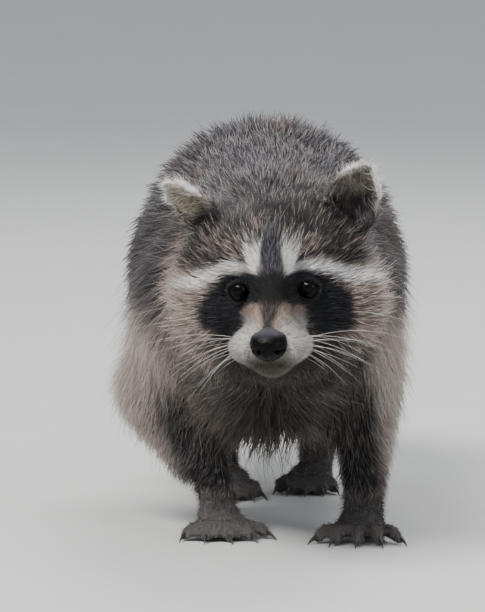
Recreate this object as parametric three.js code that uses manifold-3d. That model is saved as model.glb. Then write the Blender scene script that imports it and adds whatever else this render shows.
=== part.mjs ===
// A life-size raccoon, standing still in mid-walk with its head low, as a museum model.
// Units are millimetres. +Z is up, the animal faces -Y and its left side is +X. The four paws stand
// on the floor at Z = 0, and the origin lies on the floor under the middle of the whole animal.
//
// Every outer surface lies at the tips of the coat. The body is described the way an anatomist
// blocks it in: a few rounded masses (skull, cheeks, rib cage, haunch and so on) that melt into each
// other. Each named piece is a loft whose rings are cast outwards from a line inside the body until
// they reach the surface of those masses.

import * as THREE from "three";
import { mergeVertices } from "three/addons/utils/BufferGeometryUtils.js";
import Module from "manifold-3d";

const wasm = await Module();
wasm.setup();

// ---------------------------------------------------------------------------------------------
// Driving dimensions

const CLEARANCE = 0.3; // gap between neighbouring pieces

// The head has a frame of its own: origin midway between the eyes, nose towards -Y.
const HEAD_PLACE = { x: 3, y: -272, z: 176 };
const HEAD_TURN = { pitch: 8, yaw: -6, roll: -2.6 }; // degrees
const EYE = { x: 21, y: -2.5, z: 0, radius: 8.6 };
const NOSE = { y: -61, z: -24, width: 23, height: 18 };
const EAR = { length: 41, halfWidth: 19, cup: 13, thickness: 4 };
const EARS = {
  left: { base: [40, 44, 29], outward: 27, turned: -4 }, // cup open to the front
  right: { base: [-43, 44, 30], outward: -46, turned: -42 }, // swivelled to the side
};

// Where the head and the neck end, as lengths along the line from the nose to the rump.
const NAPE = 112;
const WITHERS = 168;

// Limb joints, and the way each paw points in degrees from straight ahead.
const FORELEGS = {
  left: { shoulder: [48, -122, 156], elbow: [63, -88, 98], wrist: [62, -118, 34], heading: -6 },
  right: { shoulder: [-50, -108, 152], elbow: [-76, -64, 88], wrist: [-35, -98, 34], heading: 10 },
};
const HINDLEGS = {
  left: { hip: [48, 140, 165], knee: [54, 104, 104], hock: [35, 162, 46], heading: -6 },
  right: { hip: [-48, 140, 165], knee: [-56, 92, 106], hock: [-33, 130, 44], heading: 8 },
};

// Toes: their spread in degrees and their lengths. The ball is where they meet.
const FOREPAW = { toes: [-34, -16, 0, 16, 34], lengths: [19, 26, 28, 26, 19], ball: [0, -20] };
const HINDPAW = { toes: [-24, -12, 0, 12, 24], lengths: [20, 26, 27, 25, 19], ball: [0, -42] };
const PAW_SINK = 1.2; // how much of each pad is flattened against the floor

const TAIL = {
  points: [[0, 186, 192], [1, 230, 172], [4, 286, 128], [9, 343, 94], [15, 402, 80]],
  radii: [34, 36, 38, 38, 30],
};

// ---------------------------------------------------------------------------------------------
// Masses: functions of a point that are negative inside and roughly the distance to the surface.

const UP = new THREE.Vector3(0, 0, 1);
const rad = THREE.MathUtils.degToRad;
const vec = (x, y, z) => new THREE.Vector3(x, y, z);

// An egg-like mass of half-sizes `radii` about `centre`.
function mass(centre, radii) {
  const c = vec(...centre);
  const r = vec(...radii);
  const q = vec(0, 0, 0);
  return (p) => {
    q.subVectors(p, c).divide(r);
    const reach = q.length();
    return reach < 1e-6 ? -Math.min(r.x, r.y, r.z) : (reach * (reach - 1)) / q.divide(r).length();
  };
}

// A tapered limb with round ends, from a to b.
function limb(a, radiusA, b, radiusB) {
  const start = vec(...a);
  const along = vec(...b).sub(start);
  const q = vec(0, 0, 0);
  return (p) => {
    q.subVectors(p, start);
    const share = THREE.MathUtils.clamp(q.dot(along) / along.lengthSq(), 0, 1);
    return q.addScaledVector(along, -share).length() - THREE.MathUtils.lerp(radiusA, radiusB, share);
  };
}

// Several masses melted into one, with fillets about `softness` wide.
const melt = (softness, ...fields) => (p) =>
  fields
    .map((field) => field(p))
    .reduce((a, b) => {
      const overlap = Math.max(softness - Math.abs(a - b), 0) / softness;
      return Math.min(a, b) - (overlap * overlap * softness) / 4;
    });

// A mass with a soft hollow pressed into it.
const pressed = (softness, field, hollow) => (p) => {
  const a = field(p);
  const b = -hollow(p);
  const overlap = Math.max(softness - Math.abs(a - b), 0) / softness;
  return Math.max(a, b) + (overlap * overlap * softness) / 4;
};

// The same mass on both sides of the body.
const paired = (make) => [make(1), make(-1)];

// A field described in a part's own frame, seen from the body's frame.
function posed(matrix, field) {
  const inverse = matrix.clone().invert();
  const q = vec(0, 0, 0);
  return (p) => field(q.copy(p).applyMatrix4(inverse));
}

// ---------------------------------------------------------------------------------------------
// Lofts

// Walks from `origin` along `direction` to where `field` rises through `level`.
function cast(field, origin, direction, level) {
  const STEP = 3;
  const LONGEST = 260;
  const HALVINGS = 14;
  const p = vec(0, 0, 0);
  const value = (distance) => field(p.copy(origin).addScaledVector(direction, distance)) - level;
  let far = 0;
  while (far < LONGEST && value(far) < 0) far += STEP;
  let near = Math.max(far - STEP, 0);
  for (let i = 0; i < HALVINGS; i++) {
    const middle = (near + far) / 2;
    if (value(middle) < 0) near = middle;
    else far = middle;
  }
  return origin.clone().addScaledVector(direction, (near + far) / 2);
}

// A closed skin of rings round a line. Options:
//   spacing, lean  the step to the next ring and the angle of a ring's rays from the line's start,
//                  90 being square to it, both as functions of the length along the line
//   start, end     "flat", a plane across the line, or "dome", which runs out to the surface
//   domes          the angles of the rings that round off a dome
//   facing         one direction that all the rings are square to, which suits a sharply bent leg
//   level          how far outside the surface the skin lies
function loft(field, line, options) {
  const { spacing, segments, start, end, facing } = options;
  const { from = 0, to = line.getLength(), lean = () => 90, domes = [25, 50, 72], level = 0 } = options;
  const length = line.getLength();
  const along = (s) => THREE.MathUtils.clamp(s / length, 0, 1);
  const stations = [];
  for (let s = from; s < to - 1e-6; ) {
    stations.push({ s, angle: lean(s) });
    const step = spacing(s);
    s = to - s < 1.5 * step ? to : s + step;
  }
  stations.push({ s: to, angle: lean(to) });
  if (start === "dome") stations.unshift(...domes.map((angle) => ({ s: from, angle })));
  if (end === "dome") stations.push(...domes.map((angle) => ({ s: to, angle: 180 - angle })).reverse());

  const reach = (s, angle, turn) => {
    const origin = line.getPointAt(along(s));
    const back = facing ?? line.getTangentAt(along(s));
    const helper = Math.abs(back.z) > 0.8 ? vec(0, -1, 0) : UP;
    const side = vec(0, 0, 0).crossVectors(back, helper).normalize();
    const top = vec(0, 0, 0).crossVectors(side, back);
    const direction = side
      .multiplyScalar(Math.cos(turn))
      .addScaledVector(top, Math.sin(turn))
      .multiplyScalar(Math.sin(rad(angle)))
      .addScaledVector(back, -Math.cos(rad(angle)));
    return cast(field, origin, direction, level);
  };
  const pole = (s, kind, angle) => (kind === "dome" ? reach(s, angle, 0) : line.getPointAt(along(s)));

  const points = [pole(from, start, 0)];
  for (const { s, angle } of stations)
    for (let i = 0; i < segments; i++) points.push(reach(s, angle, (2 * Math.PI * i) / segments));
  points.push(pole(to, end, 180));

  const faces = [];
  const at = (ring, i) => 1 + ring * segments + (i % segments);
  const last = stations.length - 1;
  for (let i = 0; i < segments; i++) {
    faces.push(0, at(0, i), at(0, i + 1));
    for (let ring = 0; ring < last; ring++) {
      faces.push(at(ring, i), at(ring + 1, i), at(ring + 1, i + 1));
      faces.push(at(ring, i), at(ring + 1, i + 1), at(ring, i + 1));
    }
    faces.push(points.length - 1, at(last, i + 1), at(last, i));
  }
  return toSolid(new THREE.BufferGeometry().setFromPoints(points).setIndex(faces));
}

const curve = (points) => new THREE.CatmullRomCurve3(points.map((p) => vec(...p)), false, "centripetal");
const bothDomed = { start: "dome", end: "dome" };

// ---------------------------------------------------------------------------------------------
// Joining and cutting

function toSolid(geometry) {
  const bare = geometry.clone();
  bare.deleteAttribute("normal");
  bare.deleteAttribute("uv");
  const merged = mergeVertices(bare, 1e-4);
  return new wasm.Manifold(
    new wasm.Mesh({
      numProp: 3,
      vertProperties: merged.attributes.position.array,
      triVerts: new Uint32Array(merged.index.array),
    }),
  );
}

function toGeometry(solid) {
  const { vertProperties, triVerts } = solid.getMesh();
  return new THREE.BufferGeometry()
    .setAttribute("position", new THREE.BufferAttribute(vertProperties, 3))
    .setIndex(new THREE.BufferAttribute(triVerts, 1));
}

const joined = (solids) => solids.reduce((a, b) => a.add(b));
const cutBy = (solid, cutters) => cutters.reduce((a, b) => a.subtract(b), solid);

// ---------------------------------------------------------------------------------------------
// Head

const turn = new THREE.Euler(rad(HEAD_TURN.pitch), rad(HEAD_TURN.roll), rad(HEAD_TURN.yaw), "ZXY");
const headFrame = new THREE.Matrix4().compose(
  vec(HEAD_PLACE.x, HEAD_PLACE.y, HEAD_PLACE.z),
  new THREE.Quaternion().setFromEuler(turn),
  vec(1, 1, 1),
);
const inHead = (x, y, z) => vec(x, y, z).applyMatrix4(headFrame).toArray();

const skull = melt(
  16,
  mass([0, 40, 8], [52, 54, 42]), // braincase
  mass([0, 19, 12], [40, 28, 23]), // brow
  ...paired((side) => mass([side * 35, 37, -16], [33, 34, 37])), // cheeks and their ruff
  limb([0, 30, -34], 26, [0, 70, -30], 38), // throat
);
const muzzle = melt(
  10,
  limb([0, 2, -4], 17, [0, -50, -19], 9), // bridge
  limb([0, 4, -22], 25, [0, -38, -28], 13), // snout
  ...paired((side) => mass([side * 11.5, -42, -27], [14.5, 17, 10.5])), // whisker pads
  limb([0, -42, -38], 8, [0, 6, -38], 17), // lower jaw
);
const eyeHollows = melt(2, ...paired((side) => mass([side * 22.5, -20, -1], [11, 11, 10])));
const headField = posed(headFrame, pressed(12, melt(15, skull, muzzle), eyeHollows));

// ---------------------------------------------------------------------------------------------
// Core: head, neck and trunk are one skin from the nose to the rump, cut across at two planes.

const trunkField = melt(
  40,
  mass([0, -75, 157], [76, 95, 84]), // rib cage
  mass([0, -112, 112], [44, 52, 48]), // brisket
  mass([0, 35, 158], [95, 115, 90]), // belly
  mass([0, 130, 175], [88, 88, 87]), // rump
);
const neckField = limb([0, -130, 166], 64, [2, -205, 163], 58);
const coreField = melt(24, melt(36, trunkField, neckField), headField);
const coreLine = curve([
  inHead(0, -46, -26),
  inHead(0, -20, -20),
  inHead(0, 20, -10),
  inHead(0, 60, -4),
  [1, -170, 168],
  [0, -110, 172],
  [0, -20, 176],
  [0, 80, 180],
  [0, 160, 180],
]);

const FACE_RINGS_END = 66; // rings are closest together from the nose to here
const coreSpacing = (s) => (s < FACE_RINGS_END ? 6 : s < NAPE ? 10 : s < WITHERS ? 16 : 24);
// The rays lean forwards where the forehead and cheeks turn to face the front.
const coreLean = (s) => 90 - 34 * Math.exp(-(((s - 72) / 36) ** 2));

function coreSolid(level = 0) {
  const options = { spacing: coreSpacing, lean: coreLean, segments: 28, level, ...bothDomed };
  return loft(coreField, coreLine, options);
}

// Everything ahead of a plane square to the core line at `s`, moved back by `offset`.
function aheadOf(s, offset) {
  const REACH = 800;
  const share = s / coreLine.getLength();
  const block = new THREE.BoxGeometry(REACH, REACH, REACH).translate(0, 0, offset - REACH / 2);
  const facingBack = new THREE.Quaternion().setFromUnitVectors(UP, coreLine.getTangentAt(share));
  block.applyQuaternion(facingBack);
  return toSolid(block.translate(...coreLine.getPointAt(share).toArray()));
}

// ---------------------------------------------------------------------------------------------
// Legs

const forelegField = ({ shoulder, elbow, wrist }) =>
  melt(20, mass(shoulder, [36, 42, 52]), limb(shoulder, 34, elbow, 28), limb(elbow, 26, wrist, 16.5));
const hindlegField = ({ hip, knee, hock }) =>
  melt(20, mass(hip, [42, 56, 62]), limb(hip, 40, knee, 30), limb(knee, 28, hock, 17));

// A leg's rings are level with the floor, so it ends level at its wrist or hock.
function legSolid(field, joints, level = 0) {
  const facing = vec(0, 0, -1);
  const options = { from: 4, spacing: () => 17, segments: 12, facing, level, domes: [35, 68] };
  return loft(field, curve(joints), { ...options, start: "dome", end: "flat" });
}

// ---------------------------------------------------------------------------------------------
// Paws, each in its own frame: origin on the floor under the wrist or hock, toes towards -Y

// One toe with its raised knuckle, and the claw at its tip.
function toe([x, y], angle, length) {
  const ahead = (distance, z) => [x + Math.sin(angle) * distance, y - Math.cos(angle) * distance, z];
  const root = ahead(4, 9);
  const knuckle = ahead(6 + length * 0.45, 9.5);
  const tip = ahead(6 + length, 4.6);
  const flesh = melt(3, limb(root, 6, knuckle, 5.2), limb(knuckle, 5.2, tip, 4.6));
  const digit = { spacing: () => 14, segments: 6, domes: [50], start: "flat", end: "dome" };
  const CLAW = { length: 15, radius: 2.6, droop: 16 };
  const claw = new THREE.ConeGeometry(CLAW.radius, CLAW.length, 5)
    .rotateX(Math.PI + rad(CLAW.droop))
    .rotateZ(angle)
    .translate(...ahead(11 + length, 3.6));
  return [loft(flesh, curve([root, knuckle, tip]), digit), toSolid(claw)];
}

// `top` is the height of the wrist or hock, where the paw meets its leg.
function paw({ toes, lengths, ball }, field, line, top) {
  const TOE_PITCH = 0.36; // sideways step between toe roots for each degree of spread
  const pad = loft(field, line, { spacing: () => 15, segments: 9, domes: [50], start: "flat", end: "dome" });
  const digits = toes.flatMap((spread, i) =>
    toe([ball[0] + spread * TOE_PITCH, ball[1]], rad(spread), lengths[i]),
  );
  const BLOCK = { width: 300, depth: 60 };
  const block = new THREE.BoxGeometry(BLOCK.width, BLOCK.width, BLOCK.depth);
  const floor = toSolid(block.clone().translate(0, 0, PAW_SINK - BLOCK.depth / 2));
  const ceiling = toSolid(block.clone().translate(0, 0, top - CLEARANCE + PAW_SINK + BLOCK.depth / 2));
  return cutBy(joined([pad, ...digits]), [floor, ceiling]).translate([0, 0, -PAW_SINK]);
}

function forepaw([, , top]) {
  const wrist = limb([0, 0, 44], 15.5, [0, -3, 14], 13);
  const palm = mass([0, -16, 10], [18, 18, 11]);
  return paw(FOREPAW, melt(6, wrist, palm), curve([[0, 0, 44], [0, -2, 22], [0, -16, 11]]), top);
}

function hindpaw([, , top]) {
  const heel = limb([0, 0, 56], 16, [0, 8, 15], 14);
  const instep = limb([0, 8, 13], 13, [0, -30, 11], 11);
  const ball = mass([0, -36, 10], [18, 18, 10.5]);
  const line = curve([[0, 0, 56], [0, 3, 30], [0, -8, 14], [0, -36, 10]]);
  return paw(HINDPAW, melt(8, heel, instep, ball), line, top);
}

const placed = (solid, { heading }, [x, y]) => solid.rotate([0, 0, heading]).translate([x, y, 0]);

// ---------------------------------------------------------------------------------------------
// Tail, hanging behind and bushy to its rounded tip

function tailSolid() {
  const { points, radii } = TAIL;
  const lengths = points.slice(1).map((point, i) => limb(points[i], radii[i], point, radii[i + 1]));
  return loft(melt(10, ...lengths), curve(points), { spacing: () => 28, segments: 12, ...bothDomed });
}

// ---------------------------------------------------------------------------------------------
// Ears: cupped leaves, built with the tip along +Z and the hollow side towards -Y

function earLeaf() {
  const ROWS = 6;
  const ACROSS = 7;
  const LAST_ROW = 0.985; // share of the length where the leaf closes to its tip
  const breadth = (v) => EAR.halfWidth * (0.86 + 0.5 * v - 0.36 * v * v) * Math.sqrt(1 - v ** 2.3);
  const around = 2 * ACROSS;
  const points = [];
  for (let row = 0; row <= ROWS; row++) {
    const v = Math.min(row / ROWS, LAST_ROW);
    const depth = EAR.cup * (1 - 0.55 * v) * (breadth(v) / EAR.halfWidth);
    for (let i = 0; i < around; i++) {
      const turn = (Math.PI * i) / ACROSS;
      const across = Math.cos(turn);
      const leaf = depth * (1 - across * across) + (EAR.thickness / 2) * Math.sin(turn);
      points.push(vec(breadth(v) * across, leaf, EAR.length * v));
    }
  }
  const foot = points.push(vec(0, EAR.cup * 0.4, 0)) - 1;
  const tip = points.push(vec(0, 0, EAR.length)) - 1;
  const faces = [];
  const at = (row, i) => row * around + (i % around);
  for (let i = 0; i < around; i++) {
    faces.push(foot, at(0, i + 1), at(0, i));
    for (let row = 0; row < ROWS; row++) {
      faces.push(at(row, i), at(row, i + 1), at(row + 1, i + 1));
      faces.push(at(row, i), at(row + 1, i + 1), at(row + 1, i));
    }
    faces.push(tip, at(ROWS, i), at(ROWS, i + 1));
  }
  return new THREE.BufferGeometry().setFromPoints(points).setIndex(faces);
}

function ear({ base, outward, turned }) {
  const LEAN_BACK = -12;
  const angles = new THREE.Euler(rad(LEAN_BACK), rad(outward), rad(turned), "YXZ");
  const rotation = new THREE.Quaternion().setFromEuler(angles);
  const onHead = new THREE.Matrix4().compose(vec(...base), rotation, vec(1, 1, 1));
  return toSolid(earLeaf().applyMatrix4(onHead).applyMatrix4(headFrame));
}

// ---------------------------------------------------------------------------------------------
// Eyes and nose pad

function eyeball(side, extra = 0) {
  const ball = new THREE.SphereGeometry(EYE.radius + extra, 12, 8);
  return toSolid(ball.translate(side * EYE.x, EYE.y, EYE.z).applyMatrix4(headFrame));
}

function nosePad(level = 0) {
  const { y, z, width, height } = NOSE;
  const pad = melt(
    5,
    mass([0, y + 8, z + 3], [width / 2 - 2, 9, height / 2 - 1]),
    ...paired((side) => mass([side * 5, y + 7, z - 1], [6.2, 7.5, 7])), // wings
  );
  const nostrils = paired((side) => limb([side * 6, y - 3, z], 2, [side * 9.5, y + 3, z - 1], 1.4));
  const field = posed(headFrame, pressed(2, pad, melt(1, ...nostrils)));
  const line = curve([inHead(0, y + 4, z), inHead(0, y + 10, z)]);
  return loft(field, line, { spacing: () => 4, segments: 14, level, ...bothDomed });
}

// ---------------------------------------------------------------------------------------------
// Placing

const surface = (color, roughness) => new THREE.MeshStandardMaterial({ color, roughness, metalness: 0 });
const FINISH = {
  coat: surface(0x6f6862, 0.9),
  face: surface(0x8d857d, 0.9),
  dark: surface(0x2c2a2a, 0.85),
  eye: surface(0x0c0a09, 0.1),
  nose: surface(0x17171a, 0.35),
};

const animal = new THREE.Group();
function place(name, solid, material) {
  const mesh = new THREE.Mesh(toGeometry(solid), material);
  mesh.name = name;
  animal.add(mesh);
}

const core = coreSolid();
const grownCore = coreSolid(CLEARANCE);
const gap = CLEARANCE / 2;
const socketCutters = [nosePad(CLEARANCE), eyeball(1, CLEARANCE), eyeball(-1, CLEARANCE)];
place("head", cutBy(core.intersect(aheadOf(NAPE, -gap)), socketCutters), FINISH.face);
place("nose", nosePad(), FINISH.nose);

const trunkPockets = [aheadOf(WITHERS, gap)];
const neckPockets = [aheadOf(NAPE, gap)];
for (const [side, sign] of [["left", 1], ["right", -1]]) {
  place(`eye_${side}`, eyeball(sign), FINISH.eye);
  place(`ear_${side}`, cutBy(ear(EARS[side]), [grownCore]), FINISH.face);

  const { shoulder, elbow, wrist } = FORELEGS[side];
  const fore = [forelegField(FORELEGS[side]), [shoulder, elbow, wrist]];
  const forePocket = legSolid(...fore, CLEARANCE);
  place(`foreleg_${side}`, legSolid(...fore), FINISH.coat);
  place(`forepaw_${side}`, placed(forepaw(wrist), FORELEGS[side], wrist), FINISH.dark);

  const { hip, knee, hock } = HINDLEGS[side];
  const hind = [hindlegField(HINDLEGS[side]), [hip, knee, hock]];
  place(`hindleg_${side}`, legSolid(...hind), FINISH.coat);
  place(`hindpaw_${side}`, placed(hindpaw(hock), HINDLEGS[side], hock), FINISH.dark);

  trunkPockets.push(forePocket, legSolid(...hind, CLEARANCE));
  neckPockets.push(forePocket);
}
place("neck", cutBy(core.intersect(aheadOf(WITHERS, -gap)), neckPockets), FINISH.coat);
place("trunk", cutBy(core, trunkPockets), FINISH.coat);
place("tail", cutBy(tailSolid(), [grownCore]), FINISH.coat);

// The whole animal is moved so that the origin is under its middle.
const bounds = new THREE.Box3().setFromObject(animal);
const middle = bounds.getCenter(vec(0, 0, 0));
animal.position.set(-middle.x, -middle.y, -bounds.min.z);

export default animal;
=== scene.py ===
# A raccoon in mid-walk, standing with its head low, as a life-size museum model.
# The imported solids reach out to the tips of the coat. One skin lies inside them by the depth of the
# fur, and the coat grows on it as thousands of fine locks that follow the lie of the hair.

import math

import bmesh
import bpy
import numpy as np
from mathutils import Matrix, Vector
from mathutils.bvhtree import BVHTree


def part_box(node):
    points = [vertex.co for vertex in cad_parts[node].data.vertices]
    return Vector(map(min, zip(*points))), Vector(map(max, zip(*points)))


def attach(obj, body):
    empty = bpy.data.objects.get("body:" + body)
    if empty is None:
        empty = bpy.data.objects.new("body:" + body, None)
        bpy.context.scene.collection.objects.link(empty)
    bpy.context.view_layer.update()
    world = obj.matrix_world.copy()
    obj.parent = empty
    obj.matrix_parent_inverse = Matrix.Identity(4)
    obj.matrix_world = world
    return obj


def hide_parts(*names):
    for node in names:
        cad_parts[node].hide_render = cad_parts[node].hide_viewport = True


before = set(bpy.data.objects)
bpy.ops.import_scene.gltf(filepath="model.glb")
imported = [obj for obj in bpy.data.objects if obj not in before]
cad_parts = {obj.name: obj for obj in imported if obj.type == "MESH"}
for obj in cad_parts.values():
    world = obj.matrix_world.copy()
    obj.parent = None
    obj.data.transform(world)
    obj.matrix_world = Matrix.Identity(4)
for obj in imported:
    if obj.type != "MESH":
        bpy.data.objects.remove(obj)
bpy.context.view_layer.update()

# ---------------------------------------------------------------------------------------------
# Camera, light and floor. The animal is seen almost straight on, from a little above its head,
# through a long lens. It stands on a plain pale floor under one broad soft lamp and two weak ones.

MM = 0.001  # everything is worked out in millimetres and scaled as it becomes a mesh
CAMERA_DISTANCE = 3200
CAMERA_RISE = math.radians(5.2)
CAMERA_LENS, CAMERA_SENSOR, CAMERA_SEES_TO = 303.6, 36, 100  # the last in metres
FACE_OFF_CENTRE = np.array([-19.8, 0, -10.8])
FLOOR_HALF = 40.0  # metres


def centre_of(node):
    low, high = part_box(node)
    return (np.array(low) + np.array(high)) / 2 / MM


def unit(v):
    return v / np.maximum(np.linalg.norm(v, axis=-1, keepdims=True), 1e-9)


def add_object(name, data):
    holder = bpy.data.objects.new(name, data)
    bpy.context.scene.collection.objects.link(holder)
    return holder


def connect(finish, node, inputs):
    """Sets each of these inputs of a node to a value, or feeds it from another node's output."""
    for word, value in inputs.items():
        if isinstance(value, bpy.types.NodeSocket):
            finish.node_tree.links.new(value, node.inputs[word])
        else:
            node.inputs[word].default_value = value


def add_node(finish, kind, inputs={}, **settings):
    node = finish.node_tree.nodes.new("ShaderNode" + kind)
    for word, value in settings.items():
        setattr(node, word, value)
    connect(finish, node, inputs)
    return node


def start_finish(name, inputs):
    """A new material and its shader, with these inputs of the shader set."""
    finish = bpy.data.materials.new(name)
    finish.use_nodes = True
    shader = finish.node_tree.nodes["Principled BSDF"]
    connect(finish, shader, inputs)
    return finish, shader


def clouded_finish(name, roughness, scale, dark, light, detail=2, dark_to=0.0):
    """A finish that wanders softly between a dark and a light tone."""
    finish, shader = start_finish(name, {"Roughness": roughness})
    place = add_node(finish, "TexCoord").outputs["Object"]
    noise = add_node(finish, "TexNoise", {"Vector": place, "Scale": scale, "Detail": detail})
    tones = add_node(finish, "ValToRGB", {"Fac": noise.outputs["Fac"]})
    first, last = tones.color_ramp.elements
    first.position, first.color, last.color = dark_to, (*dark, 1), (*light, 1)
    connect(finish, shader, {"Base Color": tones.outputs["Color"]})
    return finish


eye_centres = {side: centre_of(f"eye_{side}") for side in ("left", "right")}
between_eyes = (eye_centres["left"] + eye_centres["right"]) / 2
look_at = between_eyes + FACE_OFF_CENTRE
towards_camera = np.array([0, -math.cos(CAMERA_RISE), math.sin(CAMERA_RISE)])
camera_data = bpy.data.cameras.new("camera")
camera_data.lens = CAMERA_LENS
camera_data.sensor_width = CAMERA_SENSOR
camera_data.clip_end = CAMERA_SEES_TO
camera = add_object("camera", camera_data)
camera.location = Vector((look_at + CAMERA_DISTANCE * towards_camera) * MM)
camera.rotation_euler = (math.pi / 2 - CAMERA_RISE, 0, 0)
bpy.context.scene.camera = camera

# name, place in metres, size in metres, watts, colour
for name, place, size, watts, colour in (
    ("key", (-1.2, -2.0, 2.6), (2.2, 1.1), 152, (1.0, 0.985, 0.96)),
    ("fill", (2.4, -2.2, 1.1), (1.6, 1.6), 23, (0.94, 0.97, 1.0)),
    ("rim", (0.6, 2.2, 2.6), (1.4, 1.4), 62, (1.0, 0.99, 0.97)),
):
    lamp = bpy.data.lights.new(name, "AREA")
    lamp.shape = "ELLIPSE"
    lamp.size, lamp.size_y = size
    lamp.energy = watts
    lamp.color = colour
    holder = add_object(name, lamp)
    holder.location = place
    aim = Vector(look_at * MM) - Vector(place)
    holder.rotation_euler = aim.to_track_quat("-Z", "Y").to_euler()

world = bpy.data.worlds.new("studio")
world.use_nodes = True
world.node_tree.nodes["Background"].inputs["Color"].default_value = (0.86, 0.9, 0.95, 1)
world.node_tree.nodes["Background"].inputs["Strength"].default_value = 0.7
bpy.context.scene.world = world

floor_mesh = bpy.data.meshes.new("floor")
corners = [(x * FLOOR_HALF, y * FLOOR_HALF, 0) for x, y in ((-1, -1), (1, -1), (1, 1), (-1, 1))]
floor_mesh.from_pydata(corners, [], [(0, 1, 2, 3)])
floor_mesh.materials.append(clouded_finish("floor", 0.8, 6, (0.6, 0.6, 0.588), (0.64, 0.64, 0.628), 4))
add_object("floor", floor_mesh)

# ---------------------------------------------------------------------------------------------
# Skin: one closed hide over the whole body, without a seam, of thin soft leather under the hair.
# The solids are bridged where they meet, remeshed as one, finest on the head and paws, and drawn in
# by the depth of the coat. It has the coat's markings, and lids that close round the eyes.

FLESH = ["head", "ear_left", "ear_right", "neck", "trunk", "tail"]
PAWS = ["forepaw_left", "forepaw_right", "hindpaw_left", "hindpaw_right"]
FLESH += ["foreleg_left", "foreleg_right", "hindleg_left", "hindleg_right"] + PAWS
UNDER_SKIN = ["nose", "eye_left", "eye_right"]  # taken in too, so the hide is closed behind them
BRIDGE_REACH = 2.5  # walls of two nodes closer than this are drawn together
BRIDGE_OVERLAP = 0.9
VOXEL = 3.4
FLOOR_GAP = 0.1
BODY_MIDDLE = 6  # the plane that halves the body, which bends a little to its left
NOSE_DROP = math.radians(24.0)  # the nose lies this far below straight ahead of the eyes
NOSE_TIP = np.array([0, -58, -24])  # in the head's frame


def read_whole(items, name, width, kind=float):
    """A property of every item of a mesh, as rows of this many numbers."""
    values = np.empty(len(items) * width, dtype=kind)
    items.foreach_get(name, values)
    return values.reshape(-1, width)


def solid_of(node):
    """Vertices in mm and triangles of a node, with shared corners joined."""
    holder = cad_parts[node]
    mesh = holder.data
    mesh.calc_loop_triangles()
    places = read_whole(mesh.vertices, "co", 3)
    turn = np.array(holder.matrix_world)
    places = (places @ turn[:3, :3].T + turn[:3, 3]) / MM
    faces = read_whole(mesh.loop_triangles, "vertices", 3, np.int64)
    _, first, same = np.unique(np.round(places, 3), axis=0, return_index=True, return_inverse=True)
    faces = same.reshape(-1)[faces]
    whole = (faces != np.roll(faces, 1, axis=1)).all(axis=1)
    return places[first], faces[whole]


def face_crosses(places, faces):
    a, b, c = (places[faces[:, i]] for i in range(3))
    return np.cross(b - a, c - a)


def vertex_normals(places, faces):
    crosses = face_crosses(places, faces)
    total = np.zeros_like(places)
    for corner in range(3):
        for axis in range(3):
            total[:, axis] += np.bincount(faces[:, corner], crosses[:, axis], len(places))
    return unit(total)


# The head's own frame: origin midway between the eyes, X to its left, Y backwards, Z up.
head_x = unit(eye_centres["left"] - eye_centres["right"])
to_nose = centre_of("nose") - between_eyes
ahead = unit(to_nose - head_x * (to_nose @ head_x))
under = np.cross(head_x, ahead)
head_y = math.sin(NOSE_DROP) * under - math.cos(NOSE_DROP) * ahead
head_z = -math.sin(NOSE_DROP) * ahead - math.cos(NOSE_DROP) * under
head_axes = np.array([head_x, head_y, head_z])


def to_head(places):
    return (places - between_eyes) @ head_axes.T


def from_head(places):
    return np.asarray(places) @ head_axes + between_eyes


def apart(places, point):
    return np.linalg.norm(places - point, axis=1)


# Around each of these places the body is enlarged before remeshing and shrunk back afterwards:
# centre, radius, radius where it fades out, power.
LENSES = [(from_head((0, 15, 0)), 80, 240, 2.0)]


def through_lens(places, lens, backwards=False):
    centre, radius, fade, power = lens
    bare, grown = [0, radius, fade, 1e4], [0, radius * power, fade, 1e4]
    if backwards:
        bare, grown = grown, bare
    reach = apart(places, centre)
    share = np.interp(reach, bare, grown) / np.maximum(reach, 1e-6)
    return centre + (places - centre) * share[:, None]


def enlarge(places):
    for lens in LENSES:
        places = through_lens(places, lens)
    return places


def shrink_back(places):
    for lens in reversed(LENSES):
        places = through_lens(places, lens, backwards=True)
    return places


for part, power in (("ear", 1.9), ("forepaw", 2.1), ("hindpaw", 2.1)):
    for side in ("left", "right"):
        LENSES.append((enlarge(centre_of(f"{part}_{side}")[None])[0], 46, 120, power))


def mesh_from(name, places, faces):
    mesh = bpy.data.meshes.new(name)
    mesh.vertices.add(len(places))
    mesh.vertices.foreach_set("co", (np.asarray(places) * MM).ravel())
    mesh.loops.add(faces.size)
    mesh.loops.foreach_set("vertex_index", faces.ravel())
    mesh.polygons.add(len(faces))
    mesh.polygons.foreach_set("loop_start", np.arange(0, faces.size, faces.shape[1]))
    mesh.update(calc_edges=True)
    mesh.polygons.foreach_set("use_smooth", np.ones(len(faces), dtype=bool))
    return mesh


def joined(shapes):
    """The places and faces of several shapes, put together as one."""
    before = np.cumsum([0] + [len(places) for places, _ in shapes])
    faces = [faces + start for (_, faces), start in zip(shapes, before)]
    return np.vstack([places for places, _ in shapes]), np.vstack(faces)


solids = {node: solid_of(node) for node in FLESH + UNDER_SKIN}
trees = {node: BVHTree.FromPolygons(p.tolist(), f.tolist()) for node, (p, f) in solids.items()}


def bridged(node):
    """The node's vertices, with the walls that face another node pushed across the gap."""
    places = solids[node][0].copy()
    for vertex, place in enumerate(places.tolist()):
        gaps = [tree.find_nearest(place, BRIDGE_REACH) for other, tree in trees.items() if other != node]
        gaps = [found for found in gaps if found[0] is not None]
        if gaps:
            across = np.array(min(gaps, key=lambda found: found[3])[0]) - place
            places[vertex] += across + BRIDGE_OVERLAP * unit(across)
    return places


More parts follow.
